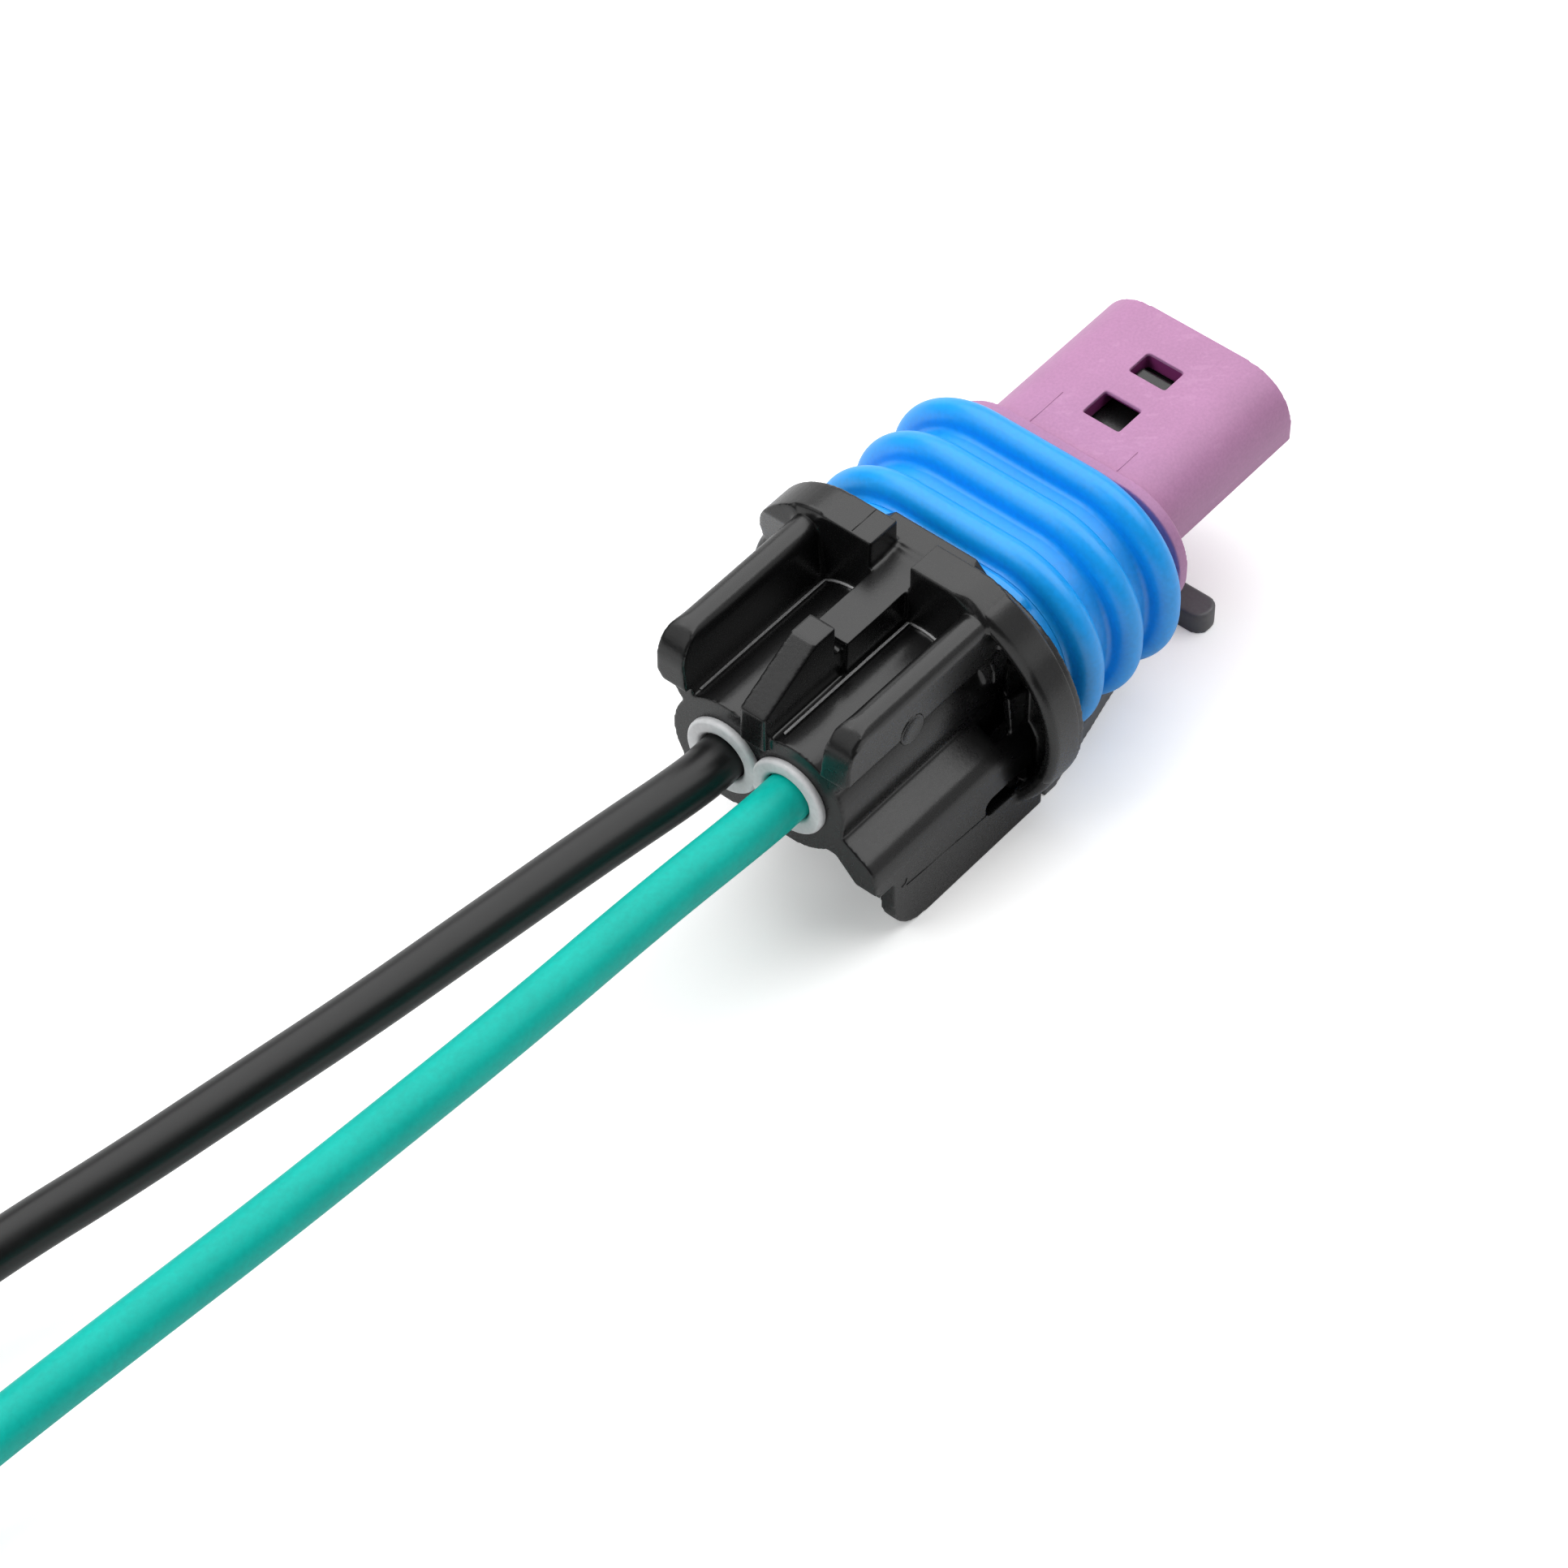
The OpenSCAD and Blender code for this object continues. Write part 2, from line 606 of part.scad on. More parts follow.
// Stamped terminal: insulation grip, core crimp, floor strip and contact box
module terminal() {
    t = terminal_t;
    grip_r = lead_od / 2 + seal_fit;
    crimp_r = core_d / 2 + seal_fit;
    x_grip = x_lead_end - grip_len - 0.2;
    x_crimp = x_lead_end + 0.8;
    floor_w = 1.4;
    floor_h = contact_w / 2;
    translate([0, lead_pitch / 2, lead_h]) {
        translate([x_grip, 0, 0]) rotate([0, 90, 0]) difference() {
            cylinder(r = grip_r + t, h = grip_len);
            translate([0, 0, -1]) cylinder(r = grip_r, h = grip_len + 2);
        }
        translate([x_crimp, 0, 0]) rotate([0, 90, 0]) difference() {
            cylinder(r = crimp_r + t, h = crimp_len);
            translate([0, 0, -1]) cylinder(r = crimp_r, h = crimp_len + 2);
        }
        translate([x_lead_end + 0.1, -floor_w / 2, -floor_h]) cube([x_contact - x_lead_end, floor_w, t]);
        translate([x_grip, -floor_w / 2, -grip_r - t]) cube([x_lead_end + 0.1 + t - x_grip, floor_w, t]);
        translate([x_lead_end + 0.1, -floor_w / 2, -grip_r - t]) cube([t, floor_w, grip_r + 2 * t - floor_h]);
        translate([x_crimp, -floor_w / 4, -floor_h]) cube([crimp_len, floor_w / 2, floor_h - crimp_r]);
        translate([x_contact, -contact_w / 2, -contact_w / 2]) difference() {
            cube([contact_len, contact_w, contact_w]);
            translate([-1, t, t]) cube([contact_len + 2, contact_w - 2 * t, contact_w - 2 * t]);
        }
        translate([x_contact + 2, -floor_w / 2, -floor_h + t])
            cube([contact_len - 4, floor_w, contact_w / 2 - blade_h / 2 - t]);
    }
}

module terminal_left() {
    color([0.8, 0.78, 0.7]) terminal();
}

module terminal_right() {
    color([0.8, 0.78, 0.7]) mirror([0, 1, 0]) terminal();
}

// Bare end of a lead inside its crimp
module conductor() {
    translate([x_lead_end, lead_pitch / 2, lead_h]) rotate([0, 90, 0]) cylinder(d = core_d, h = core_len_bare);
}

module conductor_left() {
    color([0.75, 0.45, 0.25]) conductor();
}

module conductor_right() {
    color([0.75, 0.45, 0.25]) mirror([0, 1, 0]) conductor();
}

// A tube of eight sides swept along a route, each ring square to the route's direction
function unit(v) = v / norm(v);
function heading(p, i) = unit(p[min(i + 1, len(p) - 1)] - p[max(i - 1, 0)]);
function ring(p, i, r) =
    let (d = heading(p, i), side = unit(cross([0, 0, 1], d)), up = cross(d, side))
    [for (a = [0:45:315]) p[i] + r * (cos(a) * side + sin(a) * up)];

module tube(p, d) {
    n = len(p);
    side_faces = [for (i = [0:n - 2], k = [0:7])
        [8 * i + k, 8 * i + (k + 1) % 8, 8 * i + 8 + (k + 1) % 8, 8 * i + 8 + k]];
    ends = [[for (k = [7:-1:0]) k], [for (k = [0:7]) 8 * (n - 1) + k]];
    polyhedron([for (i = [0:n - 1]) each ring(p, i, d / 2)], concat(side_faces, ends));
}

// The straight start of a lead, from its stripped end to behind the cable seal
function lead_start(s) = [for (x = [x_lead_end, x_rear + 2, x_back - 2]) [x, s * lead_pitch / 2, lead_h]];

module lead_black() {
    color([0.1, 0.1, 0.1]) tube(concat(lead_start(1), route_black), lead_od);
}

module lead_green() {
    color([0, 0.7, 0.63]) tube(concat(lead_start(-1), route_green), lead_od);
}

connector_housing();
lock_lever();
perimeter_seal();
front_retainer();
cable_seal_left();
cable_seal_right();
terminal_left();
terminal_right();
conductor_left();
conductor_right();
lead_black();
lead_green();
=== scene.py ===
import bmesh
import bpy
import numpy as np
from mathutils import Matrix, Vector


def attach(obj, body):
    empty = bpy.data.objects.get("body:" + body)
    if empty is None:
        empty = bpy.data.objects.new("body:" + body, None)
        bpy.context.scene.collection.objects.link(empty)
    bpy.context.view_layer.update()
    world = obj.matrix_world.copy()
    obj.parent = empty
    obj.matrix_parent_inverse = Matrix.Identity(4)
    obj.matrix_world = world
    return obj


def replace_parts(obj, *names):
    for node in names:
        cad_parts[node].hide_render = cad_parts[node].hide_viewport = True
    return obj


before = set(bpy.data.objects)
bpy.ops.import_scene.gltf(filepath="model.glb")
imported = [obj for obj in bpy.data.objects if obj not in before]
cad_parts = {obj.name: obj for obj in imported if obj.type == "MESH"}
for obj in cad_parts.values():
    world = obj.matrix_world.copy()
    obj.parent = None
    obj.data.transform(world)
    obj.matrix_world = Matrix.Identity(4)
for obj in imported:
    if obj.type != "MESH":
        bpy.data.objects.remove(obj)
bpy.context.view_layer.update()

scene = bpy.context.scene
scene.view_settings.view_transform = "Standard"
mm = 0.001

# photo camera, in metres
cameraSet = {"place": (-0.16609, -0.12479, 0.22841), "target": (-0.01578, 0.0, 0.00604),
             "lens": 135.13, "sensor": 36.0, "nearest": 0.01}


def aim(thing, place, target):
    # put a camera or lamp in its place and turn it towards a point
    thing.location = place
    thing.rotation_euler = (Vector(target) - Vector(place)).to_track_quat("-Z", "Y").to_euler()


def makeCamera():
    data = bpy.data.cameras.new("photoCamera")
    data.sensor_fit = "HORIZONTAL"
    data.sensor_width = cameraSet["sensor"]
    data.lens = cameraSet["lens"]
    data.clip_start = cameraSet["nearest"]
    camera = bpy.data.objects.new("photoCamera", data)
    scene.collection.objects.link(camera)
    aim(camera, cameraSet["place"], cameraSet["target"])
    scene.camera = camera


makeCamera()
print("camera set")

# mesh helpers: weld distances in metres, the strength of one round of smoothing
meshSet = {"weld": 1e-6, "fineWeld": 1e-7, "solidWeld": 2e-6, "sliver": 0.1, "relax": 0.5}


def finishMesh(name, mesh, body, slotName, material):
    mesh.polygons.foreach_set("use_smooth", np.ones(len(mesh.polygons), dtype=bool))
    piece = bpy.data.objects.new(name, mesh)
    scene.collection.objects.link(piece)
    piece.data.materials.clear()
    piece.data.materials.append(material)
    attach(piece, body)
    return piece


def gridFaces(rows, columns, closedRows, closedColumns):
    # quads between neighbouring rows and columns, joined round where closed
    i = np.arange(rows if closedRows else rows - 1)[:, None]
    j = np.arange(columns if closedColumns else columns - 1)[None, :]
    nextI, nextJ = (i + 1) % rows, (j + 1) % columns
    corners = [i * columns + j, i * columns + nextJ, nextI * columns + nextJ, nextI * columns + j]
    return np.stack(corners, -1).reshape(-1, 4)


def gridMesh(name, grids, closedRows=False, closedColumns=True, weld=meshSet["weld"]):
    # one mesh from grids of the same size (count, rows, columns, 3), doubles merged and normals outward
    count, rows, columns = grids.shape[:3]
    quads = gridFaces(rows, columns, closedRows, closedColumns)
    faces = (quads[None] + (np.arange(count) * rows * columns)[:, None, None]).reshape(-1, 4)
    mesh = bpy.data.meshes.new(name)
    mesh.from_pydata(grids.reshape(-1, 3), [], faces)
    shape = bmesh.new()
    shape.from_mesh(mesh)
    bmesh.ops.remove_doubles(shape, verts=shape.verts, dist=weld)
    bmesh.ops.dissolve_degenerate(shape, edges=shape.edges, dist=weld * meshSet["sliver"])
    bmesh.ops.recalc_face_normals(shape, faces=shape.faces)
    shape.to_mesh(mesh)
    shape.free()
    return mesh


def evaluatedMesh(work):
    # the mesh as its modifiers leave it
    return bpy.data.meshes.new_from_object(work.evaluated_get(bpy.context.evaluated_depsgraph_get()))


def addRelax(work, title, rounds, group=""):
    relax = work.modifiers.new(title, "SMOOTH")
    relax.factor, relax.iterations, relax.vertex_group = meshSet["relax"], rounds, group


def insideBox(points, box):
    # points that lie between the box's limits on all three axes
    low, high = np.array([box[axis] for axis in "xyz"]).T
    return ((points > low) & (points < high)).all(axis=1)


def softenedCopy(node, soft):
    # the solid's own mesh, merged, rebuilt on a fine grid and relaxed, which gives each edge a moulded radius
    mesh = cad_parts[node].data.copy()
    shape = bmesh.new()
    shape.from_mesh(mesh)
    bmesh.ops.remove_doubles(shape, verts=shape.verts, dist=meshSet["solidWeld"])
    shape.to_mesh(mesh)
    shape.free()
    work = bpy.data.objects.new(node + "Work", mesh)
    scene.collection.objects.link(work)
    grid = work.modifiers.new("grid", "REMESH")
    grid.mode, grid.voxel_size, grid.adaptivity = "VOXEL", soft["voxel"] * mm, 0.0
    work.data = evaluatedMesh(work)
    work.modifiers.clear()
    points = np.empty(len(work.data.vertices) * 3)
    work.data.vertices.foreach_get("co", points)
    if "reshape" in soft:
        points = soft["reshape"](points.reshape(-1, 3) / mm).ravel() * mm
        work.data.vertices.foreach_set("co", points)
        work.data.update()
    for title, box in soft.get("eases", {}).items():
        chosen = np.flatnonzero(insideBox(points.reshape(-1, 3) / mm, box))
        work.vertex_groups.new(name=title).add(chosen.tolist(), 1.0, "REPLACE")
        addRelax(work, title, box["rounds"], title)
    addRelax(work, "relax", soft["softness"])
    triangles = 2 * len(work.data.polygons)
    if triangles > soft["limit"]:
        work.modifiers.new("thin", "DECIMATE").ratio = soft["limit"] / triangles
    done = evaluatedMesh(work)
    bpy.data.objects.remove(work)
    print(node, "softened to", len(done.polygons), "faces")
    return done


# material helpers
def addNode(tree, kind, inputs=None, **settings):
    made = tree.nodes.new(kind)
    for key, value in settings.items():
        setattr(made, key, value)
    for key, value in (inputs or {}).items():
        if isinstance(value, bpy.types.NodeSocket):
            tree.links.new(value, made.inputs[key])
        else:
            made.inputs[key].default_value = value
    return made


def mathValue(tree, kind, *values):
    return addNode(tree, "ShaderNodeMath", dict(enumerate(values)), operation=kind).outputs["Value"]


def noiseValue(tree, place, scale, detail):
    inputs = {"Vector": place, "Scale": scale, "Detail": detail}
    return addNode(tree, "ShaderNodeTexNoise", inputs).outputs["Fac"]


def spreadValue(tree, value, given, wanted):
    # carry a value from one range to another
    limits = {"From Min": given[0], "From Max": given[1], "To Min": wanted[0], "To Max": wanted[1]}
    return addNode(tree, "ShaderNodeMapRange", {"Value": value, **limits}).outputs["Result"]


def mixColour(tree, factor, first, second):
    inputs = {"Factor": factor, "A": first, "B": second}
    return addNode(tree, "ShaderNodeMix", inputs, data_type="RGBA").outputs["Result"]


def newMaterial(name):
    material = bpy.data.materials.new(name)
    material.use_nodes = True
    material.node_tree.nodes.clear()
    return material, material.node_tree


def newGroup(name, inputs, outputs):
    tree = bpy.data.node_groups.new(name, "ShaderNodeTree")
    for label, kind, value in inputs:
        socket = tree.interface.new_socket(label, in_out="INPUT", socket_type=kind)
        socket.default_value = value
    for label, kind in outputs:
        tree.interface.new_socket(label, in_out="OUTPUT", socket_type=kind)
    return tree, addNode(tree, "NodeGroupInput"), addNode(tree, "NodeGroupOutput")


finishSet = {"cloudScale": 260.0, "detail": 3.0, "noise": (0.3, 0.7), "cloudTone": (0.95, 1.05),
             "grainTone": (0.94, 1.06), "edge": (0.56, 0.68), "grainHeight": 0.00003}


def makeMouldedFinish():
    # fine moulded grain, broad cloudiness, and sharp edges painted lighter, partly rubbed wear and partly a
    # painted edge highlight, on Object coordinates
    f = finishSet
    tree, given, out = newGroup(
        "mouldedFinish",
        [("Colour", "NodeSocketColor", (0.5, 0.5, 0.5, 1)),
         ("Edge Colour", "NodeSocketColor", (0.7, 0.7, 0.7, 1)),
         ("Grain Scale", "NodeSocketFloat", 5000.0), ("Grain Depth", "NodeSocketFloat", 0.2),
         ("Roughness", "NodeSocketFloat", 0.45), ("Edge Light", "NodeSocketFloat", 0.0)],
        [("Colour", "NodeSocketColor"), ("Roughness", "NodeSocketFloat"), ("Normal", "NodeSocketVector")],
    )
    place = addNode(tree, "ShaderNodeTexCoord").outputs["Object"]
    grain = noiseValue(tree, place, given.outputs["Grain Scale"], f["detail"])
    cloud = noiseValue(tree, place, f["cloudScale"], f["detail"])
    tone = mathValue(tree, "MULTIPLY", spreadValue(tree, cloud, f["noise"], f["cloudTone"]),
                     spreadValue(tree, grain, f["noise"], f["grainTone"]))
    inputs = {0: given.outputs["Colour"], "Scale": tone}
    toned = addNode(tree, "ShaderNodeVectorMath", inputs, operation="SCALE").outputs["Vector"]
    # sharp edges found by Pointiness take a lighter colour: partly rubbed wear, partly a painted edge
    # highlight
    pointed = addNode(tree, "ShaderNodeNewGeometry").outputs["Pointiness"]
    edge = spreadValue(tree, pointed, f["edge"], (0.0, 1.0))
    edgeLight = mathValue(tree, "MULTIPLY", edge, given.outputs["Edge Light"])
    bump = addNode(tree, "ShaderNodeBump", {
        "Strength": given.outputs["Grain Depth"], "Distance": f["grainHeight"], "Height": grain})
    tree.links.new(mixColour(tree, edgeLight, toned, given.outputs["Edge Colour"]), out.inputs["Colour"])
    tree.links.new(mathValue(tree, "MULTIPLY", given.outputs["Roughness"], tone), out.inputs["Roughness"])
    tree.links.new(bump.outputs["Normal"], out.inputs["Normal"])
    return tree


mouldedFinish = makeMouldedFinish()


def mouldedMaterial(name, values, plain):
    # a Principled surface fed by the moulded finish, with plain sockets set directly
    material, tree = newMaterial(name)
    finish = addNode(tree, "ShaderNodeGroup", values, node_tree=mouldedFinish).outputs
    surface = addNode(tree, "ShaderNodeBsdfPrincipled", {
        "Base Color": finish["Colour"], "Roughness": finish["Roughness"], "Normal": finish["Normal"],
        **plain})
    addNode(tree, "ShaderNodeOutputMaterial", {"Surface": surface.outputs["BSDF"]})
    return material


housingBlack = mouldedMaterial("housingBlack", {
    "Colour": (0.0055, 0.0055, 0.0057, 1), "Grain Scale": 5000.0, "Grain Depth": 0.14,
    "Roughness": 0.28}, {"Specular IOR Level": 0.54})
# the lever's dark grey is lighter than the housing's black and stands in for the floor's reflection on the
# lug: a painted reflection
leverGreyPaintedReflection = mouldedMaterial("leverGreyPaintedReflection", {
    "Colour": (0.11, 0.11, 0.112, 1), "Grain Scale": 5000.0, "Grain Depth": 0.1,
    "Roughness": 0.34}, {"Specular IOR Level": 0.43})
# light grey for the pocket's foot lines: a painted highlight on their small fillets
paintedEdgeHighlight = mouldedMaterial("paintedEdgeHighlight", {
    "Colour": (0.35, 0.35, 0.352, 1), "Grain Scale": 5000.0, "Grain Depth": 0.0,
    "Roughness": 0.25}, {"Specular IOR Level": 0.8})
sealBlue = mouldedMaterial("sealBlue", {
    "Colour": (0.003, 0.295, 0.77, 1), "Grain Scale": 4000.0, "Grain Depth": 0.04,
    "Roughness": 0.36}, {"Specular IOR Level": 0.52})
retainerPurple = mouldedMaterial("retainerPurple", {
    "Colour": (0.39, 0.186, 0.335, 1), "Grain Scale": 6000.0, "Grain Depth": 0.14,
    "Roughness": 0.44, "Edge Colour": (0.58, 0.33, 0.51, 1), "Edge Light": 0.15}, {"Specular IOR Level": 0.35})
cableSealGrey = mouldedMaterial("cableSealGrey", {
    "Colour": (0.58, 0.585, 0.595, 1), "Grain Scale": 4000.0, "Grain Depth": 0.05,
    "Roughness": 0.45, "Edge Colour": (0.64, 0.64, 0.65, 1), "Edge Light": 0.2}, {})
terminalTin = mouldedMaterial("terminalTin", {
    "Colour": (0.62, 0.60, 0.57, 1), "Grain Scale": 9000.0, "Grain Depth": 0.1,
    "Roughness": 0.3, "Edge Colour": (0.8, 0.78, 0.74, 1), "Edge Light": 0.3}, {"Metallic": 1.0})
copperCore = mouldedMaterial("copperCore", {
    "Colour": (0.80, 0.42, 0.24, 1), "Grain Scale": 9000.0, "Grain Depth": 0.1,
    "Roughness": 0.32, "Edge Colour": (0.9, 0.55, 0.35, 1), "Edge Light": 0.3}, {"Metallic": 1.0})
leadBlack = mouldedMaterial("leadBlack", {
    "Colour": (0.005, 0.005, 0.0052, 1), "Grain Scale": 3500.0, "Grain Depth": 0.04,
    "Roughness": 0.33}, {"Specular IOR Level": 0.42})
leadGreen = mouldedMaterial("leadGreen", {
    "Colour": (0.0005, 0.4, 0.337, 1), "Grain Scale": 3500.0, "Grain Depth": 0.04,
    "Roughness": 0.42}, {"Specular IOR Level": 0.2})

# painted shade in the retainer's two windows: a darker, deeper tone on the block that holds them, up to just
# under the top face
windowShadeSet = {"tone": (0.2, 0.03, 0.14, 1), "x": (9.8, 16.0), "half": 1.5, "z": (8.0, 11.82)}


def shadeWindowWalls(material):
    # painted shade: a darker, deeper tone on all that lies inside the windows' block, so on the windows' own
    # walls
    tree, w = material.node_tree, windowShadeSet
    place = addNode(tree, "ShaderNodeTexCoord").outputs["Object"]
    x, y, z = addNode(tree, "ShaderNodeSeparateXYZ", {"Vector": place}).outputs
    across = mathValue(tree, "ABSOLUTE", y)
    tests = [(z, "GREATER_THAN", w["z"][0]), (z, "LESS_THAN", w["z"][1]), (across, "LESS_THAN", w["half"]),
             (x, "GREATER_THAN", w["x"][0]), (x, "LESS_THAN", w["x"][1])]
    mask = 1.0
    for value, kind, limit in tests:
        mask = mathValue(tree, "MULTIPLY", mathValue(tree, kind, value, limit * mm), mask)
    base = next(one for one in tree.nodes if one.type == "BSDF_PRINCIPLED").inputs["Base Color"]
    tree.links.new(mixColour(tree, mask, base.links[0].from_socket, w["tone"]), base)


shadeWindowWalls(retainerPurple)
print("materials made")

# the two leads: a circle carried along the route, closed at both ends by rings that shrink to a point
leadSet = {
    "diameter": 2.7 * mm, "coreRadius": 0.78 * mm, "cutEdge": 0.985, "sides": 28, "rounds": 3,
    "pitch": 4.2, "height": 8.6, "mouth": -18.4, "startX": (-8.4, -15.8, -18.4, -20.4),
    "black": [(-26.3, 3.1, 8.4), (-34, 4.3, 8), (-41.2, 5.5, 7.5), (-48.2, 7, 6.9), (-55, 8.5, 6.2),
              (-61.3, 10.2, 5.5), (-69, 11.8, 4.4), (-77, 12.8, 3.2), (-85, 13.2, 2.2), (-93, 13.3, 1.6),
              (-101, 13, 1.4), (-110, 12.5, 1.4), (-119, 11.8, 1.4), (-128, 11, 1.4), (-137, 10, 1.4),
              (-146, 9, 1.4)],
    "green": [(-27.7, -1.5, 8.4), (-36.7, -1, 8), (-45.2, -0.2, 7.5), (-53.4, 0.7, 6.9), (-61.2, 1.8, 6.2),
              (-68.7, 2.9, 5.4), (-76, 3.9, 4.3), (-84, 4.7, 3), (-92, 5.2, 2.1), (-100, 5.3, 1.5),
              (-109, 5.2, 1.4), (-118, 4.8, 1.4), (-127, 4.2, 1.4), (-136.5, 3.5, 1.4), (-146, 2.8, 1.4)],
}
strandSet = {"radius": 0.255 * mm, "around": 6, "spread": 2.02, "sides": 12,
             "reach": (-0.05, -0.05, 0.1, 0.16, 0.16), "share": (0, 1, 1, 0.8, 0)}


def smoothRoute(points, rounds):
    # corner cutting: each stretch gives way to points at a quarter and three quarters of it
    route = np.array(points, float) * mm
    for _ in range(rounds):
        near, far = route[:-1], route[1:]
        cut = np.stack([0.75 * near + 0.25 * far, 0.25 * near + 0.75 * far], 1).reshape(-1, 3)
        route = np.vstack([route[:1], cut, route[-1:]])
    return route


def crossways(tangent):
    # the tangent at unit length, a level side square to it, and up square to both
    tangent = tangent / np.linalg.norm(tangent, axis=-1, keepdims=True)
    side = np.cross(np.array([0.0, 0.0, 1.0]), tangent)
    side /= np.linalg.norm(side, axis=-1, keepdims=True)
    return tangent, side, np.cross(tangent, side)


def tubeGrid(route, stations, radii, sides):
    # point = route + radius * (cos turn * side + sin turn * up)
    _, side, up = crossways(np.gradient(route, axis=0))
    turn = np.linspace(0, 2 * np.pi, sides, endpoint=False)[None, :, None]
    ring = np.cos(turn) * side[stations][:, None] + np.sin(turn) * up[stations][:, None]
    return route[stations][:, None] + np.asarray(radii)[:, None, None] * ring


def makeStrands(name, end, tangent):
    # one strand in the middle and the rest round it, each a short round-ended rod just proud of the cut:
    # point = end + strand's own spot + reach * tangent + share of radius * (cos turn * side + sin turn * up)
    s = strandSet
    tangent, side, up = crossways(tangent)
    around = np.linspace(0, 2 * np.pi, s["around"], endpoint=False)
    spot = np.vstack([[0, 0], s["spread"] * np.stack([np.cos(around), np.sin(around)], -1)]) * s["radius"]
    spot = spot[:, :1] * side + spot[:, 1:] * up
    turn = np.linspace(0, 2 * np.pi, s["sides"], endpoint=False)[:, None]
    ring = np.cos(turn) * side + np.sin(turn) * up
    along = (np.array(s["reach"]) * mm)[:, None] * tangent
    size = np.array(s["share"]) * s["radius"]
    rods = end + spot[:, None, None] + along[None, :, None] + size[None, :, None, None] * ring[None, None]
    return finishMesh(name, gridMesh(name, rods), "housing", "copper_core", copperCore)


def makeLead(tone, sign, material):
    radius = leadSet["diameter"] / 2
    start = [(x, sign * leadSet["pitch"] / 2, leadSet["height"]) for x in leadSet["startX"]]
    route = smoothRoute(start + leadSet[tone], leadSet["rounds"])
    last = len(route) - 1
    stations = np.concatenate([[0], np.arange(last + 1), [last, last]])
    cutEnd = [radius * leadSet["cutEdge"], leadSet["coreRadius"], 0]
    radii = np.concatenate([[0], np.full(last, radius), cutEnd])
    mesh = gridMesh("lead" + tone.title(), tubeGrid(route, stations, radii, leadSet["sides"])[None])
    lead = finishMesh("lead" + tone.title(), mesh, "housing", "lead_" + tone, material)
    strands = makeStrands("strands" + tone.title(), route[-1], route[-1] - route[-2])
    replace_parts(lead, "lead_" + tone)


makeLead("black", 1, leadBlack)
makeLead("green", -1, leadGreen)

# the right ear, in mm and radians: hood and flange are drawn together under one swept band
earSet = {
    "centreY": 2.85, "centreZ": 7.2, "radius": 7.2,                  # the flange's round end
    "hoodY": 4.1, "hoodZ": 11.0, "hoodRadius": 5.0,                  # the collar's hood
    "rear": -7.55, "front": -4.45, "rim": -6.62, "rise": 1.6, "thick": 0.86, "turnFrom": 0.26, "turnTo": 0.9,
    "pullTurn": (0.14, 1.0), "pullX": (-7.8, -4.0), "pullY": (4.4, 6.0),
    "tuckX": -5.2, "tuckY": (6.1, 6.9), "tuckZ": 9.3, "tuckBehind": 0.4, "holdIn": 0.6, "holdOut": 0.3,
    "skinMiddle": 0.45, "skinReach": 0.55, "rimGap": 0.05, "rimReach": 0.45,
}
bandSet = {
    "turnFrom": 0.12, "turnTo": 2.1, "steps": 150, "cornerRound": 0.25,
    "cornerSteps": 7, "levelSteps": 8, "arcSteps": 13,
    "startDrop": 0.2, "startRise": 0.22, "startTo": 0.38,            # it comes up out of the block
    "endFrom": 1.85, "endTo": 2.05, "endRear": 0.25, "endFront": 0.2, "endDrop": 0.09,  # it sinks in the rim
}
wallSet = {"middle": 5.375, "half": 0.825, "top": 15.3, "rear": -18.2, "corner": 2.0, "front": -7.5,
           "margin": 0.1, "fadeFrom": 0.4, "fadeTo": 0.3}
tiny = 1e-6


def easeStep(value, low, high):
    # smooth rise from 0 at low to 1 at high
    t = np.clip((value - low) / (high - low), 0, 1)
    return t * t * (3 - 2 * t)


def bandFade(turn):
    # the band sinks from the collar's block to the flange's rim with the turn about the flange's centre
    return 1 - easeStep(turn, earSet["turnFrom"], earSet["turnTo"])


def bandRear(fade):
    # the band's rear face runs from the block's to the rim's
    return earSet["rim"] + (earSet["rear"] - earSet["rim"]) * fade


